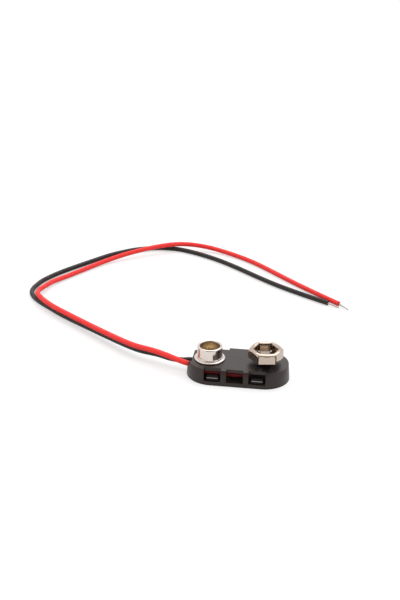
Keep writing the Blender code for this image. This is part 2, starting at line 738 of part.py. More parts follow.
def build():
    clear_scene()
    parts = new_collection("battery_snap_connector")
    cutters = new_collection("cutters")
    finishes = {
        "black_plastic": make_material("black_plastic", (0.035, 0.032, 0.032), 0.0, 0.45),
        "nickel": make_material("nickel", (0.80, 0.77, 0.73), 1.0, 0.18),
        "brass": make_material("brass", (0.72, 0.55, 0.28), 1.0, 0.3),
        "red_insulation": make_material("red_insulation", (0.82, 0.03, 0.04), 0.0, 0.35),
        "black_insulation": make_material("black_insulation", (0.04, 0.037, 0.037), 0.0, 0.4),
        "tinned_copper": make_material("tinned_copper", (0.78, 0.77, 0.75), 1.0, 0.3),
    }
    make_upper_shell(parts, cutters, finishes["black_plastic"])
    make_base_plate(parts, cutters, finishes["black_plastic"])
    make_stud_contact(parts, finishes["nickel"])
    make_socket_contact(parts, cutters, finishes["nickel"])
    make_rivet("stud_rivet", STUD_X, parts, finishes["nickel"])
    make_rivet("socket_rivet", SOCKET_X, parts, finishes["nickel"])
    make_solder_lug("stud_solder_lug", STUD_X, STUD_LUG_ANGLE, parts, finishes["brass"])
    make_solder_lug("socket_solder_lug", SOCKET_X, SOCKET_LUG_ANGLE, parts, finishes["brass"])
    make_leads(parts, cutters, finishes)
    shade_round(parts)


build()
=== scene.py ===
"""Looks of a battery snap connector: moulded shell, nickel-plated stud and petal socket, two leads.

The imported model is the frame. The leads, the contacts, the rivets and the tinned tips are surfaces
worked out with numpy, and the shell and its base plate are finished copies of their own solids.
The solder lugs and the soldered ends stay as they are, with finishes of their own.
"""
import math

import bmesh
import bpy
import numpy as np
from mathutils import Matrix, Vector


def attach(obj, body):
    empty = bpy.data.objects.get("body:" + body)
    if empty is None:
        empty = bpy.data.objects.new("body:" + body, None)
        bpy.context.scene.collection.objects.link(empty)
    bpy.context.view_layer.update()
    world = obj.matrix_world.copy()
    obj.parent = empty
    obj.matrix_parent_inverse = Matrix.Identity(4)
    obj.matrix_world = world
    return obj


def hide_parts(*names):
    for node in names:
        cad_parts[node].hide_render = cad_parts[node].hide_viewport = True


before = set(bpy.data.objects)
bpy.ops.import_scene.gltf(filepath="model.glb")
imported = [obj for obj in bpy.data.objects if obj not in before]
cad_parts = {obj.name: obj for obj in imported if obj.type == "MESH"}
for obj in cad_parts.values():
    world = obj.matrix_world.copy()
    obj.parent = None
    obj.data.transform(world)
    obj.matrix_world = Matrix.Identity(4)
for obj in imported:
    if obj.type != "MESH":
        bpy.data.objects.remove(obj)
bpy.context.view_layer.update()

MM = 0.001
BODY = "root"

# Camera, as the photograph has it
CAMERA_TURN = math.radians(7.617)
CAMERA_RISE = math.radians(25.075)
CAMERA_ROLL = math.radians(0.802)
CAMERA_DISTANCE = 297.791 * MM
CAMERA_TARGET = Vector((-14.070, 38.356, 0.0)) * MM
FOCAL_LENGTH_PIXELS = 1150.0
IMAGE_HEIGHT = 600
SENSOR = 36.0
NEAREST_SEEN = 1 * MM

# Light and floor
SKY_LIGHT = 0.92
DARK_SIDE = (0.12, -0.93, 0.32)
DARK_SIDE_SPREAD = (0.6, 0.8, 1.0)
DARK_SIDE_REACH = (0.30, 0.55)
DARK_SIDE_LEVEL = 0.05
LAMP_STRENGTH = 1.05
LAMP_ANGLE = math.radians(54)
LAMP_DIRECTION = Vector((-0.12, -0.52, -1.0))
FLOOR_HALF = 3.0
FLOOR_DROP = 0.02 * MM
FLOOR_COLOUR = 0.5
FLOOR_LIFT = 0.52
FLOOR_IN_METAL = 0.75

# Shared by several pieces
SHELL_TOP = 3.76 * MM
GAP = 0.15 * MM
SHEET = 0.3 * MM
STUD_X = -6.53 * MM
SOCKET_X = 6.17 * MM
CONTACT_BASE = SHELL_TOP + GAP
CONTACT_FLOOR = CONTACT_BASE + SHEET
HOLE_RADIUS = 1.25 * MM
TURNED_STEPS = 144

# Leads
LEAD_DIAMETER = 1.3 * MM
LEAD_RADIUS = LEAD_DIAMETER / 2
LEAD_SIDES = 56
LEAD_STEP = 0.35 * MM
ROUTE_FINENESS = 60
STRANDS = 7
STRAND_LAY = 4.2 * MM
RIDGE = 0.04 * MM
CORE_RADIUS = 0.3 * MM
CORE_RECESS = 0.45 * MM
CUT_EDGE = 0.05 * MM
CUT_EDGE_MIDDLE = 0.7

# Points along each lead in millimetres: inside the shell, where it leaves, and outside to the cut
RED_INSIDE = [
    (3.07, -3.207, 2.19), (1.83, -3.207, 2.04), (-0.18, -3.357, 1.89), (-4.53, -3.207, 2.04),
    (-6.53, -3.207, 2.115), (-7.71, -3.104, 2.14), (-8.511, -2.425, 2.14), (-9.087, -1.547, 2.14),
    (-9.815, -1.135, 2.34), (-10.415, -1.135, 2.48),
]
BLACK_INSIDE = [(-9.815, 1.135, 2.265), (-10.415, 1.135, 2.29)]
RED_EXIT = (-11.415, -1.135, 2.63)
BLACK_EXIT = (-11.415, 1.135, 2.33)
RED_OUTSIDE = [
    (-14.11, -0.72, 3.23), (-16.17, 0.10, 3.52), (-18.75, 1.54, 3.50), (-21.82, 3.22, 3.26),
    (-25.01, 4.95, 2.99), (-31.74, 9.88, 2.67), (-38.83, 15.46, 2.43), (-46.35, 21.53, 2.25),
    (-49.56, 24.10, 2.28), (-52.37, 26.95, 2.27), (-54.31, 29.47, 2.17), (-55.36, 31.68, 1.95),
    (-55.53, 34.59, 1.60), (-54.98, 37.69, 1.22), (-54.08, 41.00, 0.93), (-52.22, 44.22, 0.78),
    (-47.36, 51.65, 0.70), (-42.07, 58.44, 0.99), (-36.19, 63.19, 1.71), (-30.06, 67.19, 2.13),
    (-26.99, 68.91, 2.17), (-23.77, 70.41, 2.00), (-19.87, 71.20, 1.63), (-15.76, 70.92, 1.23),
    (-11.64, 69.61, 0.87), (-6.80, 66.89, 0.71), (-1.24, 62.46, 0.68), (9.38, 51.80, 0.68),
    (21.53, 40.54, 0.68),
]
BLACK_OUTSIDE = [
    (-12.50, 1.24, 2.10), (-14.50, 1.52, 1.96), (-16.50, 2.15, 1.94), (-19.04, 3.37, 1.91),
    (-22.02, 4.44, 1.77), (-25.20, 6.04, 1.61), (-31.95, 10.97, 1.28), (-39.22, 16.66, 0.97),
    (-46.71, 22.53, 0.76), (-50.59, 25.99, 0.70), (-53.95, 29.02, 0.68), (-56.36, 31.80, 0.68),
    (-57.50, 33.99, 0.68), (-57.93, 36.38, 0.68), (-57.50, 39.48, 0.68), (-56.69, 42.31, 0.68),
    (-53.27, 48.49, 0.68), (-48.13, 55.42, 0.68), (-42.83, 62.06, 0.68), (-40.00, 64.68, 0.68),
    (-37.01, 66.97, 0.68), (-33.77, 68.56, 0.68), (-30.55, 69.61, 0.68), (-27.10, 69.80, 0.68),
    (-23.62, 69.33, 0.68), (-15.03, 65.33, 0.68), (-5.86, 58.54, 0.68), (4.73, 49.71, 0.68),
    (18.75, 40.58, 0.68),
]

# Tinned tips: points in millimetres, the radius at even stretches from the insulation out, and
# the strands' twist in radians
RED_TIP = [
    (21.35, 40.72, 0.66), (21.75, 40.40, 0.64), (22.47, 39.73, 0.52), (23.28, 38.91, 0.43),
    (24.02, 37.95, 0.35),
]
RED_TIP_RADII = (0.24 * MM, 0.22 * MM, 0.17 * MM, 0.14 * MM, 0.17 * MM)
BLACK_TIP = [
    (18.45, 40.75, 0.66), (19.12, 40.34, 0.64), (20.01, 39.86, 0.56), (20.93, 39.32, 0.45),
    (21.63, 39.01, 0.37),
]
BLACK_TIP_RADII = (0.24 * MM, 0.22 * MM, 0.2 * MM, 0.2 * MM, 0.19 * MM)
TIP_SIDES = 42
TIP_STEP = 0.045 * MM
TIP_LOBE = 0.07
TIP_TWIST = 6.0

# Stud
STUD_WALL = 2.83 * MM
STUD_LIP = 2.87 * MM
STUD_BORE = 2.27 * MM
STUD_FLARE = 0.05 * MM
STUD_FLARE_HEIGHT = 0.9 * MM
STUD_TOP = SHELL_TOP + 3.3 * MM
STUD_BEAD = 3.01 * MM
STUD_BEAD_HEIGHT = 0.3 * MM
FLANGE_RADIUS = 3.52 * MM
FLANGE_ROUND = 0.42 * MM
FLANGE_EDGE = 0.04 * MM
STUD_INSIDE_REACH = STUD_BORE + 0.16 * MM
STUD_INSIDE_HEIGHTS = (STUD_TOP - 0.4 * MM, STUD_TOP - 0.12 * MM)
STUD_INSIDE_SHARES = (1.0, 0.0)

# Socket
PETALS = 6
SOCKET_TURN = math.radians(9)
SOCKET_FLAT = 3.5 * MM
SOCKET_MOUTH = 2.48 * MM
SOCKET_THROAT = 2.33 * MM
SOCKET_FOOT = 2.38 * MM
SOCKET_TOP = SHELL_TOP + 3.6 * MM
SOCKET_CREST = 2.98 * MM
SOCKET_SHOULDER = 0.42 * MM
SOCKET_CROWN = 0.27 * MM
SKIRT_FOOT = SHELL_TOP + 1.32 * MM
SLIT_WIDTH = 0.34 * MM
SLIT_ON_RIM = 0.16 * MM
SLIT_FOOT = CONTACT_BASE + 2.5 * SHEET
SLIT_END = 0.2 * MM
PETAL_COLUMNS = 17
PETAL_SLOPE = math.radians(52)
PETAL_SLOPE_START = 1.3 * MM
PETAL_LOW_BEND = 0.35 * MM
PETAL_HIGH_BEND = 0.5 * MM
SOCKET_EDGE = 0.035 * MM
SOCKET_INSIDE_REACH = SOCKET_FLAT - 0.3 * MM
SOCKET_INSIDE_HEIGHTS = np.array([1.55, 1.75, 3.0, 3.4]) * MM + SHELL_TOP
SOCKET_INSIDE_SHARES = (0.0, 0.9, 0.9, 0.0)

# Rivets
SHANK_RADIUS = 1.1 * MM
RIVET_BORE = 0.6 * MM
HEAD_RADIUS = 1.5 * MM
HEAD_EDGE = 0.12 * MM
HEAD_DOME = 0.45 * MM
FOOT_RADIUS = 1.6 * MM
FOOT_HEIGHT = 0.28 * MM
LUG_UNDERSIDE = 2.54 * MM

# Mouldings
SHELL_EDGE = 0.09 * MM
PLATE_EDGE = 0.06 * MM
# Painted highlight: the height and reach of the pale line on the latch noses' top edge
LATCH_EDGE_HEIGHT = 1.65 * MM
LATCH_EDGE_REACH = 0.02 * MM
WELD_REACH = 0.0005 * MM

# Corners closer than this are one corner
DOUBLES = 1e-5 * MM
DOUBLES_IN_SOLID = 1e-4 * MM

# In degrees: faces that count as one flat face, and edges that stay sharp or are softened
FLAT_ANGLE = 0.6
SHARP_ON_CORD = 40.0
SHARP_ON_SHEET = 50.0
SHARP_ON_RIVET = 60.0
SHARP_ON_MOULDING = 30.0
SOFTENED_ON_SHEET = 55.0
SOFTENING_STEPS = 2

# Colours
PLASTIC_COLOURS = ((0.012, 0.0080, 0.0070), (0.018, 0.0125, 0.0110))
PLASTIC_GLOSS_TINT = (1.0, 0.88, 0.84, 1.0)
# Painted highlight: pale grey for the glint on the latch noses' top edge
PAINTED_GLINT_COLOUR = (0.34, 0.33, 0.32)
BRIGHT_NICKEL = ((0.72, 0.635, 0.58), (0.78, 0.70, 0.645))
BRIGHT_INSIDE = (0.92, 0.79, 0.60)
WARM_NICKEL = ((0.52, 0.42, 0.35), (0.60, 0.495, 0.42))
WARM_INSIDE = (0.50, 0.42, 0.31)
DARK_RINGS = (0.20, 0.135, 0.08)
# Painted shade: near black for the socket sheet's hidden face
HOLLOW_PAINTED_SHADE = (0.05, 0.04, 0.035)
TIN_COLOURS = ((0.34, 0.31, 0.28), (0.58, 0.53, 0.49))
BRASS_COLOURS = ((0.60, 0.43, 0.20), (0.78, 0.60, 0.31))
# Insulation tones: the lighter ridge colours are painted highlight, the darker furrow colours
# painted shade
RED_RIDGE_PAINTED_LIGHT = (1.0, 0.056, 0.048)
RED_FURROW_PAINTED_SHADE = (0.92, 0.032, 0.030)
BLACK_RIDGE_PAINTED_LIGHT = (0.060, 0.042, 0.036)
BLACK_FURROW_PAINTED_SHADE = (0.003, 0.002, 0.002)
NO_LIGHT = (0.0, 0.0, 0.0)
WHITE = (1.0, 1.0, 1.0, 1.0)

# Other traits of the finishes
PLASTIC_IOR = 1.53
INSULATION_IOR = 1.5
WORN_PLASTIC_GLOSS = 0.2
WORN_PLASTIC_DULLING = 0.22
# Painted highlight: shares of the mark over which the pale glint line fades in
PAINTED_GLINT_SHARES = (0.84, 0.94)
TONE_FADE = 0.1 * MM
SKIN_DEPTH = 0.5 * MM

# Shade painted on the leads inside the shell, up to lengths in millimetres, as in their UV map
INSIDE_DARKENING = 0.83
RED_SHADED = 16.0
BLACK_SHADED = 2.0
SHADE_FADE = 2.0


def in_metres(points):
    """Points in millimetres as an array in metres."""
    return np.array(points) * MM


def natural_cubic(route, spacing):
    """Evenly spaced points on the natural cubic through the route's own points.

    The parameter grows with the square root of each chord, and the bends solve the usual
    three-band system. Between two points the place is (bend_1 * before^3 + bend_2 * after^3) /
    (6 * width) and a straight part, where after runs on from the first and before to the second.
    """
    knots = np.array(route)
    chords = np.sqrt(np.linalg.norm(np.diff(knots, axis=0), axis=1))
    t = np.concatenate([[0.0], np.cumsum(chords)])
    count = len(knots)
    slopes = np.diff(knots, axis=0) / chords[:, None]
    inner = np.arange(1, count - 1)
    system = np.eye(count)
    system[inner, inner - 1] = chords[:-1]
    system[inner, inner] = 2 * (chords[:-1] + chords[1:])
    system[inner, inner + 1] = chords[1:]
    right = np.zeros((count, 3))
    right[1:-1] = 6 * np.diff(slopes, axis=0)
    bend = np.linalg.solve(system, right)
    fine = np.linspace(0.0, t[-1], ROUTE_FINENESS * count)
    span = np.clip(np.searchsorted(t, fine, side="right") - 1, 0, count - 2)
    width = chords[span][:, None]
    after = (fine - t[span])[:, None]
    before = width - after
    curve = (bend[span] * before**3 + bend[span + 1] * after**3) / (6 * width)
    curve += (knots[span] / width - bend[span] * width / 6) * before
    curve += (knots[span + 1] / width - bend[span + 1] * width / 6) * after
    steps = np.linalg.norm(np.diff(curve, axis=0), axis=1)
    travelled = np.concatenate([[0.0], np.cumsum(steps)])
    stops = np.linspace(0.0, travelled[-1], round(travelled[-1] / spacing) + 1)
    return np.stack([np.interp(stops, travelled, curve[:, axis]) for axis in range(3)], axis=1)


def ring_faces(rows, columns, close_rows=False):
    """Quads of a grid whose columns close on themselves, one index array for all faces."""
    row = np.arange(rows if close_rows else rows - 1)[:, None]
    column = np.arange(columns)[None, :]
    below = row * columns
    above = (row + 1) % rows * columns
    after = (column + 1) % columns
    corners = [below + column, below + after, above + after, above + column]
    return np.stack(corners, axis=-1).reshape(-1, 4)


def join_doubles(mesh):
    """Joins the mesh's doubles and turns its faces outwards."""
    shape = bmesh.new()
    shape.from_mesh(mesh)
    bmesh.ops.remove_doubles(shape, verts=shape.verts, dist=DOUBLES)
    bmesh.ops.recalc_face_normals(shape, faces=shape.faces)
    shape.to_mesh(mesh)
    shape.free()


def finish_piece(name, mesh, material, sharp_angle):
    """A piece from its mesh, smooth but for its sharp edges, with its material, body and slot."""
    mesh.shade_smooth()
    mesh.set_sharp_from_angle(angle=math.radians(sharp_angle))
    mesh.materials.append(material)
    item = bpy.data.objects.new(name, mesh)
    bpy.context.scene.collection.objects.link(item)
    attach(item, BODY)
    return item


def new_piece(name, vertices, faces, material, sharp_angle, marks=None):
    """A piece from its corners and faces, with a value at each corner for every mark."""
    mesh = bpy.data.meshes.new(name)
    mesh.from_pydata(vertices.tolist(), [], faces.tolist())
    for mark, values in (marks or {}).items():
        attribute = mesh.attributes.new(mark, "FLOAT", "POINT")
        attribute.data.foreach_set("value", values.astype(np.float32))
    join_doubles(mesh)
    return finish_piece(name, mesh, material, sharp_angle)


def soften_edges(item, width, angle):
    """Rounds the edges that are sharper than the angle."""
    bevel = item.modifiers.new("Soft edges", "BEVEL")
    bevel.width = width
    bevel.segments = SOFTENING_STEPS
    bevel.limit_method = "ANGLE"
    bevel.angle_limit = math.radians(angle)
    bevel.harden_normals = True


def directions(centres):
    """Along, across and up for each point of a path that is nowhere upright.

    Along is the central difference, across stands square to it and level, up square to both.
    """
    along = np.gradient(centres, axis=0)
    along /= np.linalg.norm(along, axis=1)[:, None]
    across = np.cross(along, (0.0, 0.0, 1.0))
    across /= np.linalg.norm(across, axis=1)[:, None]
    return along, across, np.cross(across, along)


def spokes(centres, sides, turn):
    """Along, and the unit directions out of a path, turned as it goes.

    A direction out is across * cos(angle) + up * sin(angle).
    """
    along, across, up = directions(centres)
    angle = np.arange(sides) * math.tau / sides + turn[:, None]
    out = across[:, None] * np.cos(angle)[..., None] + up[:, None] * np.sin(angle)[..., None]
    return along, out


def cut_end(centre, outward, spoke):
    """Rings that close a lead's cut end: over a small edge, in to the core's hole and down it."""
    steps = [
        (LEAD_RADIUS - CUT_EDGE * (1 - CUT_EDGE_MIDDLE), CUT_EDGE * CUT_EDGE_MIDDLE),
        (LEAD_RADIUS - CUT_EDGE, CUT_EDGE),
        (CORE_RADIUS + CUT_EDGE, CUT_EDGE),
        (CORE_RADIUS, 0.0),
        (CORE_RADIUS, -CORE_RECESS),
        (0.0, -CORE_RECESS),
    ]
    return np.array([centre + spoke * radius + outward * rise for radius, rise in steps])


def add_length_map(mesh, rows, sides, distance):
    """UV map of a tube: u is the distance along it in millimetres, v the share of its turn."""
    row = np.arange(rows - 1)[:, None, None] + np.array([0, 0, 1, 1])
    column = np.arange(sides)[None, :, None] + np.array([0, 1, 1, 0])
    u = np.broadcast_to(distance[row] / MM, (rows - 1, sides, 4))
    v = np.broadcast_to(column / sides, (rows - 1, sides, 4))
    layer = mesh.uv_layers.new(name="Length")
    layer.data.foreach_set("uv", np.stack([u, v], axis=-1).ravel())


def make_lead(name, inside, exit_point, outside, material):
    """An insulated lead over twisted strands, carried along the cubic route, with both ends cut.

    Radius = lead radius - ridge * (1 - cos(strands * v)) / 2, with v the turn round the tube.
    The grid itself winds once in the strands' lay, so the ridges follow its columns.
    """
    centres = natural_cubic(in_metres(inside + [exit_point] + outside), LEAD_STEP)
    steps = np.linalg.norm(np.diff(centres, axis=0), axis=1)
    distance = np.concatenate([[0.0], np.cumsum(steps)])
    along, out = spokes(centres, LEAD_SIDES, -math.tau * distance / STRAND_LAY)
    column = np.arange(LEAD_SIDES) * math.tau / LEAD_SIDES
    radius = LEAD_RADIUS - RIDGE * (1 - np.cos(STRANDS * column)) / 2
    rings = centres[:, None] + out * radius[None, :, None]
    start = cut_end(centres[0], -along[0], out[0])[::-1]
    end = cut_end(centres[-1], along[-1], out[-1])
    grid = np.concatenate([start, rings, end])
    mesh = bpy.data.meshes.new(name)
    mesh.from_pydata(grid.reshape(-1, 3).tolist(), [], ring_faces(len(grid), LEAD_SIDES).tolist())
    add_length_map(mesh, len(grid), LEAD_SIDES, np.pad(distance, (len(start), len(end)), "edge"))
    join_doubles(mesh)
    item = finish_piece(name, mesh, material, SHARP_ON_CORD)
    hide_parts(name.removesuffix("_sheath"))


def make_tinned_tip(name, node, route, radii, material):
    """Tinned strands: seven lobes that twist along the tip, closed by a rounded end.

    Ring radius = radius * round(s) * (1 + lobe * cos(7 * v)), where round falls to nothing over
    the last part as a quarter circle, and the grid winds with the lobes.
    """
    centres = natural_cubic(in_metres(route), TIP_STEP)
    share = np.linspace(0.0, 1.0, len(centres))
    length = np.linalg.norm(np.diff(centres, axis=0), axis=1).sum()
    end_part = radii[-1] / length
    rounded = np.sqrt(np.clip(1 - np.clip((share - 1 + end_part) / end_part, 0, 1) ** 2, 0, 1))
    thick = np.interp(share, np.linspace(0, 1, len(radii)), radii)
    _, out = spokes(centres, TIP_SIDES, -TIP_TWIST * share)
    lobes = 1 + TIP_LOBE * np.cos(STRANDS * np.arange(TIP_SIDES) * math.tau / TIP_SIDES)
    rings = centres[:, None] + out * ((thick * rounded)[:, None] * lobes)[..., None]
    rings[0] = centres[0]
    vertices = rings.reshape(-1, 3)
    faces = ring_faces(len(rings), TIP_SIDES)
    item = new_piece(name, vertices, faces, material, SHARP_ON_CORD)
    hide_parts(node)
    return item


def arc(centre, radii, start, end, steps):
    """Points (distance from the axis, height) on an elliptic arc, angles in degrees."""
    angle = np.radians(np.linspace(start, end, steps + 1))
    distance = centre[0] + radii[0] * np.cos(angle)
    height = centre[1] + radii[1] * np.sin(angle)
    return np.stack([distance, height], axis=1)


def turned_grid(profile, x, closed=True):
    """A profile of (radius, height) turned once round the upright axis at x.

    A point is (x + radius * cos(angle), radius * sin(angle), height).
    """
    angle = np.arange(TURNED_STEPS) * math.tau / TURNED_STEPS
    radius = profile[:, 0][:, None]
    height = np.broadcast_to(profile[:, 1][:, None], (len(profile), TURNED_STEPS))
    grid = np.stack([x + radius * np.cos(angle), radius * np.sin(angle), height], axis=-1)
    return grid.reshape(-1, 3), ring_faces(len(profile), TURNED_STEPS, closed)


def inside_share(vertices, x, reach, heights, shares):
    """Share of the brassy inner tone: by height, fading to nothing at the reach from the axis."""
    distance = np.hypot(vertices[:, 0] - x, vertices[:, 1])
    inward = np.clip((reach - distance) / TONE_FADE, 0, 1)
    return inward * np.interp(vertices[:, 2], heights, shares)


def stud_profile():
    """Drawn sheet: rolled rim, wall with a square-law flare at its foot, rounded bead, flange."""
    rim = (STUD_LIP - STUD_BORE) / 2
    rim_centre = (STUD_BORE + rim, STUD_TOP - rim)
    edge = SHEET / 2
    bead_top = CONTACT_FLOOR + STUD_BEAD_HEIGHT
    wall_foot = STUD_WALL + STUD_FLARE
    flange_low = CONTACT_BASE + FLANGE_EDGE
    share = np.linspace(1.0, 0.0, 9)[:-1]
    wall_radius = STUD_WALL + STUD_FLARE * (1 - share) ** 2
    wall = np.stack([wall_radius, bead_top + STUD_FLARE_HEIGHT * share], axis=1)
    bead_radii = (STUD_BEAD - wall_foot, STUD_BEAD_HEIGHT)
    round_centre = (FLANGE_RADIUS - FLANGE_ROUND, flange_low)
    round_radii = (FLANGE_ROUND, CONTACT_FLOOR - flange_low)
    edge_centre = (FLANGE_RADIUS - FLANGE_EDGE, flange_low)
    return np.concatenate([
        arc(rim_centre, (rim, rim), 180, 0, steps=40),
        wall,
        arc((wall_foot, CONTACT_FLOOR), bead_radii, 90, 0, steps=12),
        arc(round_centre, round_radii, 90, 0, steps=16),
        arc(edge_centre, (FLANGE_EDGE, FLANGE_EDGE), -15, -90, steps=5),
        [(HOLE_RADIUS, CONTACT_BASE), (HOLE_RADIUS, CONTACT_FLOOR)],
        arc((STUD_BORE - edge, CONTACT_FLOOR + edge), (edge, edge), 270, 360, steps=6),
    ])


def make_stud(material):
    """The stud's profile turned round the stud's axis, brassy inside up to the rim."""
    vertices, faces = turned_grid(stud_profile(), STUD_X)
    inside = inside_share(
        vertices, STUD_X, STUD_INSIDE_REACH, STUD_INSIDE_HEIGHTS, STUD_INSIDE_SHARES
    )
    item = new_piece(
        "stud", vertices, faces, material, SHARP_ON_SHEET, {"inside": inside}
    )
    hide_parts("stud_contact")


def petal_section():
    """Middle line of a petal's sheet: distance from the axis to the flat, height, crown, gap.

    It runs from the base up a slope between two round bends, up the waisted wall, over the
    rolled rim and down the skirt. The waist is a straight line less a half sine. The roll is a
    quarter circle inside and a quarter ellipse outside, which meet at the crest. At angle a from
    its outer side the crown's share is sin(a) * (1 + cos(a)), and the slits narrow with the
    square root of sin(a).
    """
    half = SHEET / 2
    base = CONTACT_BASE + half
    skirt = SOCKET_FLAT - half
    mouth = SOCKET_MOUTH + half
    foot = SOCKET_FOOT + half
    throat = SOCKET_THROAT + half
    middle = SOCKET_CREST - half
    roll = middle - mouth
    crest = SOCKET_TOP - half
    slope = math.degrees(PETAL_SLOPE)
    low_centre = (PETAL_SLOPE_START, base + PETAL_LOW_BEND)
    low_bend = arc(low_centre, (PETAL_LOW_BEND, PETAL_LOW_BEND), 270, 270 + slope, steps=8)
    slope_end = foot - PETAL_HIGH_BEND * (1 - math.sin(PETAL_SLOPE))
    slope_rise = (slope_end - low_bend[-1, 0]) * math.tan(PETAL_SLOPE)
    wall_low = low_bend[-1, 1] + slope_rise + PETAL_HIGH_BEND * math.cos(PETAL_SLOPE)
    high_centre = (foot - PETAL_HIGH_BEND, wall_low)
    high_bend = arc(high_centre, (PETAL_HIGH_BEND, PETAL_HIGH_BEND), 270 + slope, 360, steps=8)
    share = np.linspace(0.0, 1.0, 14)[1:-1]
    incline = low_bend[-1] + (high_bend[0] - low_bend[-1]) * share[:, None]
    bend = np.concatenate([low_bend, incline, high_bend])
    straight = foot + (mouth - foot) * share
    waist = straight - (straight - throat) * np.sin(math.pi * share)
    wall = np.stack([waist, wall_low + (crest - roll - wall_low) * share], axis=1)
    angle = np.radians(np.linspace(180, 0, 41))
    inner = angle > math.pi / 2
    depth = np.where(inner, roll, SOCKET_SHOULDER)
    reach = np.where(inner, roll, skirt - middle)
    rim = np.stack([middle + reach * np.cos(angle), crest - depth * (1 - np.sin(angle))], axis=1)
    drop = np.linspace(0.0, 1.0, 10)[1:]
    skirt_top = crest - SOCKET_SHOULDER
    hem_height = skirt_top + (SKIRT_FOOT - skirt_top) * drop
    hem = np.stack([np.full(len(drop), skirt), hem_height], axis=1)
    line = np.concatenate([[(HOLE_RADIUS, base)], bend, wall, rim, hem])
    crown = np.zeros(len(line))
    gap = np.full(len(line), SLIT_WIDTH)
    on_rim = slice(1 + len(bend) + len(wall), len(line) - len(hem))
    crown[on_rim] = np.sin(angle) * (1 + np.cos(angle)) * SOCKET_CROWN
    gap[on_rim] += (SLIT_ON_RIM - SLIT_WIDTH) * np.sqrt(np.clip(np.sin(angle), 0, 1))
    return line, crown, gap


def both_faces(section, thickness):
    """The sheet's closed outline: its middle line moved half a thickness to each side."""
    along = np.gradient(section, axis=0)
    along /= np.linalg.norm(along, axis=1)[:, None]
    half = np.stack([along[:, 1], -along[:, 0]], axis=1) * thickness / 2
    return np.concatenate([section + half, (section - half)[::-1]])


def petal_faces(rows, columns, opened):
    """Quads of one petal: its skin all round the outline, and its cut edges where it is open."""
    column = np.arange(columns - 1)[None, :]
    below = np.arange(rows)[:, None] * columns
    above = np.roll(below, -1)
    corners = [below + column, below + column + 1, above + column + 1, above + column]
    skin = np.stack(corners, axis=-1).reshape(-1, 4)
    step = np.flatnonzero(opened[1:] > 0)
    far = rows - 1 - step
    cut = np.stack([step, step + 1, far - 1, far], axis=1) * columns
    return np.concatenate([skin, cut, cut + columns - 1])


def make_socket(material):
    """Six petals: the sheet's outline carried across each flat, narrower by the slit's width.

    A point is n * (flat + crown * (2/3 - s^2)) + t * s * (flat * tan(30 deg) - gap / 2), with n
    out of the flat, t along it and s from -1 to 1. Below the slits' foot the petals meet, and
    the sheet's cut edges are closed only above it. The sheet's hidden face is marked as hollow.
    """
    line, crown, gap = petal_section()
    opened = np.clip((line[:, 1] - SLIT_FOOT) / SLIT_END, 0, 1)
    gap = gap * np.sqrt(1 - (1 - opened) ** 2)
    outline = both_faces(line, SHEET)
    crown = np.concatenate([crown, crown[::-1]])
    gap = np.concatenate([gap, gap[::-1]])
    flat, height = outline[:, 0], outline[:, 1]
    half_width = flat * math.tan(math.pi / PETALS) - gap / 2
    s = np.linspace(-1.0, 1.0, PETAL_COLUMNS)
    out = flat[:, None] + crown[:, None] * (2 / 3 - s**2)
    across = half_width[:, None] * s
    rows, columns = out.shape
    faces = petal_faces(rows, columns, opened)
    angles = SOCKET_TURN + math.pi / PETALS + np.arange(PETALS) * math.tau / PETALS
    vertices = np.concatenate([
        np.stack([
            SOCKET_X + out * math.cos(a) - across * math.sin(a),
            out * math.sin(a) + across * math.cos(a),
            np.broadcast_to(height[:, None], out.shape),
        ], axis=-1).reshape(-1, 3)
        for a in angles
    ])
    all_faces = np.concatenate([faces + k * rows * columns for k in range(PETALS)])
    inside = inside_share(
        vertices, SOCKET_X, SOCKET_INSIDE_REACH, SOCKET_INSIDE_HEIGHTS, SOCKET_INSIDE_SHARES
    )
    # Painted shade: marks the sheet's hidden face, between skirt and wall, for a near-black tone
    hollow = np.tile(np.repeat(np.arange(rows) < rows // 2, columns), PETALS)
    item = new_piece(
        "socket", vertices, all_faces, material, SHARP_ON_SHEET,
        {"inside": inside, "hollow": hollow},
    )
    soften_edges(item, SOCKET_EDGE, SOFTENED_ON_SHEET)
    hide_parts("socket_contact")


def rivet_profile():
    """Domed head above the contact's floor, shank, rolled foot below the lug, and a blind bore."""
    head_low = CONTACT_FLOOR + GAP
    foot_high = LUG_UNDERSIDE - GAP
    foot_low = foot_high - FOOT_HEIGHT
    edge = FOOT_HEIGHT / 2
    foot_centre = (FOOT_RADIUS - edge, foot_high - edge)
    bore_centre = (RIVET_BORE + edge, foot_low + edge)
    return np.concatenate([
        arc((0.0, head_low + HEAD_EDGE), (HEAD_RADIUS, HEAD_DOME), 90, 0, steps=28),
        [(HEAD_RADIUS - HEAD_EDGE, head_low), (SHANK_RADIUS, head_low), (SHANK_RADIUS, foot_high)],
        arc(foot_centre, (edge, edge), 90, -90, steps=12),
        arc(bore_centre, (edge, edge), 270, 180, steps=6),
        [(RIVET_BORE, SHELL_TOP), (0.0, SHELL_TOP)],
    ])


def make_rivet(name, node, x, material):
    """The rivet's profile turned round its contact's axis."""
    vertices, faces = turned_grid(rivet_profile(), x, closed=False)
    item = new_piece(name, vertices, faces, material, SHARP_ON_RIVET)
    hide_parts(node)


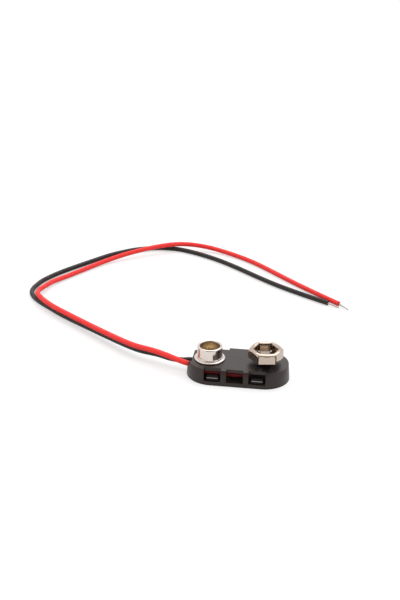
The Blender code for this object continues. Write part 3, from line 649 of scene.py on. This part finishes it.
def make_moulding(name, node, material, edge, glint_height=None):
    """A solid's own shape with its flat faces joined up, smooth round faces and softened edges.

    Corners at the glint height carry 1 in the attribute painted_glint, all others 0, for a painted
    highlight along the latch noses' top edge. Corners that the softening leaves in one place are
    joined.
    """
    shape = bmesh.new()
    shape.from_mesh(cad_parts[node].data)
    bmesh.ops.remove_doubles(shape, verts=shape.verts, dist=DOUBLES_IN_SOLID)
    bmesh.ops.dissolve_limit(
        shape, angle_limit=math.radians(FLAT_ANGLE), verts=shape.verts, edges=shape.edges
    )
    mesh = bpy.data.meshes.new(name)
    shape.to_mesh(mesh)
    shape.free()
    if glint_height is not None:
        places = np.zeros(len(mesh.vertices) * 3)
        mesh.vertices.foreach_get("co", places)
        # Painted highlight: marks the latch noses' top edge for a pale line
        painted_glint = np.abs(places[2::3] - glint_height) < LATCH_EDGE_REACH
        attribute = mesh.attributes.new("painted_glint", "FLOAT", "POINT")
        attribute.data.foreach_set("value", painted_glint.astype(np.float32))
    item = finish_piece(name, mesh, material, SHARP_ON_MOULDING)
    soften_edges(item, edge, SHARP_ON_MOULDING)
    item.modifiers.new("Joined corners", "WELD").merge_threshold = WELD_REACH
    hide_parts(node)


class Nodes:
    """A material under construction, with short calls for the nodes that it uses."""

    def __init__(self, name):
        self.material = bpy.data.materials.new(name)
        self.material.use_nodes = True
        self.tree = self.material.node_tree
        self.shader = self.tree.nodes["Principled BSDF"]
        self.coordinates = self.tree.nodes.new("ShaderNodeTexCoord").outputs["Object"]

    def link(self, source, target):
        """One node's result into another node."""
        self.tree.links.new(source, target)

    def feed(self, name, source):
        """A node's result into the shader."""
        self.link(source, self.shader.inputs[name])

    def settle(self, name, value):
        """A constant on the shader's own socket."""
        self.shader.inputs[name].default_value = value

    def noise(self, scale, detail=3.0, stretch=(1.0, 1.0, 1.0)):
        """Noise that varies scale times in a metre, and less along an axis with a small stretch."""
        mapping = self.tree.nodes.new("ShaderNodeMapping")
        mapping.inputs["Scale"].default_value = stretch
        self.link(self.coordinates, mapping.inputs["Vector"])
        texture = self.tree.nodes.new("ShaderNodeTexNoise")
        texture.inputs["Scale"].default_value = scale
        texture.inputs["Detail"].default_value = detail
        self.link(mapping.outputs["Vector"], texture.inputs["Vector"])
        return texture.outputs["Fac"]

    def between(self, value, low, high, start=0.3, end=0.7):
        """A value spread from start..end to low..high."""
        spread = self.tree.nodes.new("ShaderNodeMapRange")
        spread.inputs["From Min"].default_value = start
        spread.inputs["From Max"].default_value = end
        spread.inputs["To Min"].default_value = low
        spread.inputs["To Max"].default_value = high
        self.link(value, spread.inputs["Value"])
        return spread.outputs["Result"]

    def colours(self, factor, first, second):
        """A mix of two colours, each of which may be another node's result."""
        mix = self.tree.nodes.new("ShaderNodeMix")
        mix.data_type = "RGBA"
        for place, colour in (("A", first), ("B", second)):
            if isinstance(colour, tuple):
                mix.inputs[place].default_value = (*colour, 1.0)
            else:
                self.link(colour, mix.inputs[place])
        self.link(factor, mix.inputs["Factor"])
        return mix.outputs["Result"]

    def math(self, operation, first, second=0.0):
        """A sum on one or two values, each a number or another node's result."""
        node = self.tree.nodes.new("ShaderNodeMath")
        node.operation = operation
        for socket, value in zip(node.inputs, (first, second)):
            if isinstance(value, (int, float)):
                socket.default_value = value
            else:
                self.link(value, socket)
        return node.outputs["Value"]

    def attribute(self, name):
        """A value that the piece's own corners carry."""
        node = self.tree.nodes.new("ShaderNodeAttribute")
        node.attribute_name = name
        return node.outputs["Fac"]

    def bump(self, height, distance, strength, under=None):
        """Bumps up to a distance in metres, over another layer of bumps where one is given."""
        node = self.tree.nodes.new("ShaderNodeBump")
        node.inputs["Distance"].default_value = distance
        node.inputs["Strength"].default_value = strength
        self.link(height, node.inputs["Height"])
        if under is not None:
            self.link(under, node.inputs["Normal"])
        return node.outputs["Normal"]


def shell_plastic(name, dull_with_glint=False):
    """Black moulded plastic: fine spark-eroded grain, slightly uneven colour and gloss.

    With dull_with_glint it is duller, and pale where the attribute painted_glint comes near 1, as a
    painted highlight.
    """
    n = Nodes(name)
    n.settle("IOR", PLASTIC_IOR)
    n.settle("Specular Tint", PLASTIC_GLOSS_TINT)
    surface = n.colours(n.noise(350.0, detail=4.0), *PLASTIC_COLOURS)
    if dull_with_glint:
        n.settle("Specular IOR Level", WORN_PLASTIC_GLOSS)
        # Painted highlight: pale where the glint mark is set, on the latch noses' top edge
        start, end = PAINTED_GLINT_SHARES
        painted_glint = n.between(n.attribute("painted_glint"), 0.0, 1.0, start, end)
        surface = n.colours(painted_glint, surface, PAINTED_GLINT_COLOUR)
    n.feed("Base Color", surface)
    dull = WORN_PLASTIC_DULLING if dull_with_glint else 0.0
    n.feed("Roughness", n.between(n.noise(900.0, detail=5.0), 0.32 + dull, 0.42 + dull))
    grain = n.bump(n.noise(9000.0, detail=2.0), distance=0.003 * MM, strength=0.5)
    waves = n.noise(700.0, detail=2.0)
    n.feed("Normal", n.bump(waves, distance=0.006 * MM, strength=0.3, under=grain))
    return n.material


def nickel_plate(name, plate, inner, inner_dulling):
    """Bright nickel over drawn brass sheet, brassy and duller inside, with painted shade in the
    hollows.

    The attribute inside is the share of the brassy tone, and hollow is 1 on the hidden face, painted
    dark as shade.
    """
    n = Nodes(name)
    n.settle("Metallic", 1.0)
    inside = n.attribute("inside")
    turned = n.noise(1500.0, stretch=(0.08, 0.08, 1.0))
    rings = n.between(turned, 0.0, 0.75, start=0.35, end=0.65)
    brassy = n.colours(rings, inner, DARK_RINGS)
    plating = n.colours(inside, n.colours(n.noise(800.0), *plate), brassy)
    # Painted shade: near black on the hidden face of the sheet
    n.feed("Base Color", n.colours(n.attribute("hollow"), plating, HOLLOW_PAINTED_SHADE))
    polish = n.between(n.noise(1500.0, detail=4.0), 0.07, 0.15)
    dulling = n.between(inside, 0.0, inner_dulling, start=0.0, end=1.0)
    n.feed("Roughness", n.math("ADD", polish, dulling))
    drawn = n.noise(1600.0, stretch=(1.0, 1.0, 0.12))
    lines = n.bump(drawn, distance=0.003 * MM, strength=0.4)
    dents = n.noise(420.0, detail=2.0)
    n.feed("Normal", n.bump(dents, distance=0.012 * MM, strength=0.2, under=lines))
    return n.material


def insulation(name, ridge, furrow, roughness, gloss, shaded):
    """Extruded insulation: painted highlight on the ridges of the strands' lay, painted shade in the
    furrows.

    Up to the shaded length in millimetres it is darker still, with painted shade, as it lies inside
    the shell.
    """
    n = Nodes(name)
    n.settle("IOR", INSULATION_IOR)
    n.settle("Specular IOR Level", gloss)
    n.settle("Subsurface Weight", 0.3)
    n.settle("Subsurface Radius", (1.0, 0.3, 0.3))
    n.settle("Subsurface Scale", SKIN_DEPTH)
    length = n.tree.nodes.new("ShaderNodeUVMap")
    length.uv_map = "Length"
    parts = n.tree.nodes.new("ShaderNodeSeparateXYZ")
    n.link(length.outputs["UV"], parts.inputs["Vector"])
    wave = n.math("COSINE", n.math("MULTIPLY", parts.outputs["Y"], STRANDS * math.tau))
    unevenness = n.between(n.noise(500.0), 0.5, 1.0)
    # Painted highlight on the ridges and painted shade in the furrows of the strands' lay
    ridge_light = n.math("MULTIPLY", n.between(wave, 0.0, 1.0, start=-1.0, end=1.0), unevenness)
    # Painted shade on the stretch of lead inside the shell
    inside_shade = n.between(parts.outputs["X"], INSIDE_DARKENING, 0.0, shaded - SHADE_FADE, shaded)
    n.feed("Base Color", n.colours(inside_shade, n.colours(ridge_light, furrow, ridge), NO_LIGHT))
    smears = n.noise(1200.0, detail=4.0)
    n.feed("Roughness", n.between(smears, roughness - 0.05, roughness + 0.07))
    fine = n.bump(n.noise(6000.0, detail=2.0), distance=0.003 * MM, strength=0.5)
    waves = n.noise(900.0, detail=2.0)
    n.feed("Normal", n.bump(waves, distance=0.008 * MM, strength=0.4, under=fine))
    return n.material


def tinned_copper():
    """Soft tin over copper strands, uneven and dimpled."""
    n = Nodes("tinned_strands")
    n.settle("Metallic", 1.0)
    n.feed("Base Color", n.colours(n.noise(2500.0), *TIN_COLOURS))
    n.feed("Roughness", n.between(n.noise(3000.0), 0.22, 0.42))
    n.feed("Normal", n.bump(n.noise(3500.0), distance=0.015 * MM, strength=0.5))
    return n.material


def stamped_brass():
    """Plain brass sheet with rolling lines and a little tarnish."""
    n = Nodes("stamped_brass")
    n.settle("Metallic", 1.0)
    n.feed("Base Color", n.colours(n.noise(600.0, detail=4.0), *BRASS_COLOURS))
    n.feed("Roughness", n.between(n.noise(1500.0, detail=4.0), 0.24, 0.4))
    rolled = n.noise(2500.0, stretch=(0.1, 1.0, 1.0))
    n.feed("Normal", n.bump(rolled, distance=0.006 * MM, strength=0.5))
    return n.material


def dress(node, material):
    """Gives a solid that stays its finish."""
    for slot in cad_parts[node].material_slots:
        slot.material = material


def make_camera():
    """The photograph's own view: the turn and rise of the line of sight, and the roll about it."""
    back = Vector((
        math.sin(CAMERA_TURN) * math.cos(CAMERA_RISE),
        -math.cos(CAMERA_TURN) * math.cos(CAMERA_RISE),
        math.sin(CAMERA_RISE),
    ))
    level = (-back).cross(Vector((0, 0, 1))).normalized()
    upright = level.cross(-back)
    right = level * math.cos(CAMERA_ROLL) + upright * math.sin(CAMERA_ROLL)
    up = upright * math.cos(CAMERA_ROLL) - level * math.sin(CAMERA_ROLL)
    data = bpy.data.cameras.new("camera")
    data.sensor_fit = "VERTICAL"
    data.sensor_height = SENSOR
    data.lens = SENSOR * FOCAL_LENGTH_PIXELS / IMAGE_HEIGHT
    data.clip_start = NEAREST_SEEN
    camera = bpy.data.objects.new("camera", data)
    turn = Matrix((right, up, back)).transposed().to_4x4()
    camera.matrix_world = Matrix.Translation(CAMERA_TARGET + back * CAMERA_DISTANCE) @ turn
    bpy.context.scene.collection.objects.link(camera)
    bpy.context.scene.camera = camera


def larger(tree, first, second):
    """The larger of two values."""
    node = tree.nodes.new("ShaderNodeMath")
    node.operation = "MAXIMUM"
    tree.links.new(first, node.inputs[0])
    tree.links.new(second, node.inputs[1])
    return node.outputs["Value"]


def times(tree, value, factor):
    """A value times a factor."""
    node = tree.nodes.new("ShaderNodeMath")
    node.operation = "MULTIPLY"
    node.inputs[1].default_value = factor
    tree.links.new(value, node.inputs[0])
    return node.outputs["Value"]


def make_floor():
    """A plain pale floor that keeps the object's shadow and looks white where none falls.

    It is lifted towards white for the camera, and less so where metal shows it.
    """
    corner = np.array([(-1, -1), (1, -1), (1, 1), (-1, 1)]) * FLOOR_HALF
    mesh = bpy.data.meshes.new("floor")
    mesh.from_pydata([(x, y, -FLOOR_DROP) for x, y in corner], [], [(0, 1, 2, 3)])
    floor = bpy.data.objects.new("floor", mesh)
    bpy.context.scene.collection.objects.link(floor)
    material = bpy.data.materials.new("pale_floor")
    material.use_nodes = True
    tree = material.node_tree
    shader = tree.nodes["Principled BSDF"]
    shader.inputs["Base Color"].default_value = (FLOOR_COLOUR, FLOOR_COLOUR, FLOOR_COLOUR, 1.0)
    shader.inputs["Roughness"].default_value = 1.0
    shader.inputs["Specular IOR Level"].default_value = 0.0
    shader.inputs["Emission Color"].default_value = WHITE
    path = tree.nodes.new("ShaderNodeLightPath").outputs
    glossy = larger(tree, path["Is Glossy Ray"], path["Is Transmission Ray"])
    reflected = times(tree, glossy, FLOOR_IN_METAL)
    lift = times(tree, larger(tree, reflected, path["Is Camera Ray"]), FLOOR_LIFT)
    tree.links.new(lift, shader.inputs["Emission Strength"])
    mesh.materials.append(material)


def make_surroundings():
    """White all round, with the dark camera side of a studio in the reflections.

    The dark side is |spread * (direction - side)| taken from dark at the inner reach to white at
    the outer one. The camera itself sees white everywhere, and the soft light is even.
    """
    world = bpy.data.worlds.new("white_surroundings")
    bpy.context.scene.world = world
    world.use_nodes = True
    tree = world.node_tree
    offset = tree.nodes.new("ShaderNodeVectorMath")
    offset.operation = "SUBTRACT"
    offset.inputs[1].default_value = DARK_SIDE
    tree.links.new(tree.nodes.new("ShaderNodeTexCoord").outputs["Generated"], offset.inputs[0])
    spread = tree.nodes.new("ShaderNodeVectorMath")
    spread.operation = "MULTIPLY"
    spread.inputs[1].default_value = DARK_SIDE_SPREAD
    tree.links.new(offset.outputs["Vector"], spread.inputs[0])
    away = tree.nodes.new("ShaderNodeVectorMath")
    away.operation = "LENGTH"
    tree.links.new(spread.outputs["Vector"], away.inputs[0])
    shade = tree.nodes.new("ShaderNodeMapRange")
    shade.interpolation_type = "SMOOTHSTEP"
    shade.inputs["From Min"].default_value = DARK_SIDE_REACH[0]
    shade.inputs["From Max"].default_value = DARK_SIDE_REACH[1]
    shade.inputs["To Min"].default_value = DARK_SIDE_LEVEL
    shade.inputs["To Max"].default_value = 1.0
    tree.links.new(away.outputs["Value"], shade.inputs["Value"])
    path = tree.nodes.new("ShaderNodeLightPath").outputs
    glossy = larger(tree, path["Is Glossy Ray"], path["Is Transmission Ray"])
    level = tree.nodes.new("ShaderNodeMix")
    level.inputs["A"].default_value = SKY_LIGHT
    tree.links.new(shade.outputs["Result"], level.inputs["B"])
    tree.links.new(glossy, level.inputs["Factor"])
    strength = larger(tree, level.outputs["Result"], path["Is Camera Ray"])
    background = tree.nodes["Background"]
    tree.links.new(strength, background.inputs["Strength"])
    background.inputs["Color"].default_value = WHITE


def make_lamp():
    """One broad lamp overhead, a little behind and to the right, for the soft shadows."""
    lamp = bpy.data.lights.new("broad_lamp", "SUN")
    lamp.energy = LAMP_STRENGTH
    lamp.angle = LAMP_ANGLE
    item = bpy.data.objects.new("broad_lamp", lamp)
    item.rotation_euler = LAMP_DIRECTION.to_track_quat("-Z", "Y").to_euler()
    bpy.context.scene.collection.objects.link(item)


bpy.context.scene.view_settings.view_transform = "Standard"
make_camera()
tin = tinned_copper()
red = insulation(
    "red_insulation", RED_RIDGE_PAINTED_LIGHT, RED_FURROW_PAINTED_SHADE, roughness=0.44, gloss=0.28, shaded=RED_SHADED
)
black = insulation(
    "black_insulation", BLACK_RIDGE_PAINTED_LIGHT, BLACK_FURROW_PAINTED_SHADE, roughness=0.30, gloss=0.30, shaded=BLACK_SHADED
)
red_tip = make_tinned_tip("red_tip", "red_tinned_tip", RED_TIP, RED_TIP_RADII, tin)
black_tip = make_tinned_tip("black_tip", "black_tinned_tip", BLACK_TIP, BLACK_TIP_RADII, tin)
make_lead("red_lead_sheath", RED_INSIDE, RED_EXIT, RED_OUTSIDE, red)
make_lead(
    "black_lead_sheath", BLACK_INSIDE, BLACK_EXIT, BLACK_OUTSIDE, black
)

plastic = shell_plastic("black_moulded_plastic")
# Plate plastic: a duller finish, with a painted highlight on the latch noses' top edge
plate_plastic = shell_plastic("dull_black_plastic_painted_glint", dull_with_glint=True)
bright = nickel_plate("bright_nickel", BRIGHT_NICKEL, BRIGHT_INSIDE, inner_dulling=0.3)
warm = nickel_plate("warm_nickel", WARM_NICKEL, WARM_INSIDE, inner_dulling=0.08)
brass = stamped_brass()
make_stud(bright)
make_socket(warm)
make_rivet("stud_rivet_turned", "stud_rivet", STUD_X, brass)
make_rivet("socket_rivet_turned", "socket_rivet", SOCKET_X, bright)
make_moulding("shell", "upper_shell", plastic, SHELL_EDGE)
make_moulding("plate", "base_plate", plate_plastic, PLATE_EDGE, LATCH_EDGE_HEIGHT)
for node in ("stud_solder_lug", "socket_solder_lug"):
    dress(node, brass)
for node in ("red_soldered_end", "black_soldered_end"):
    dress(node, tin)
make_floor()
make_surroundings()
make_lamp()
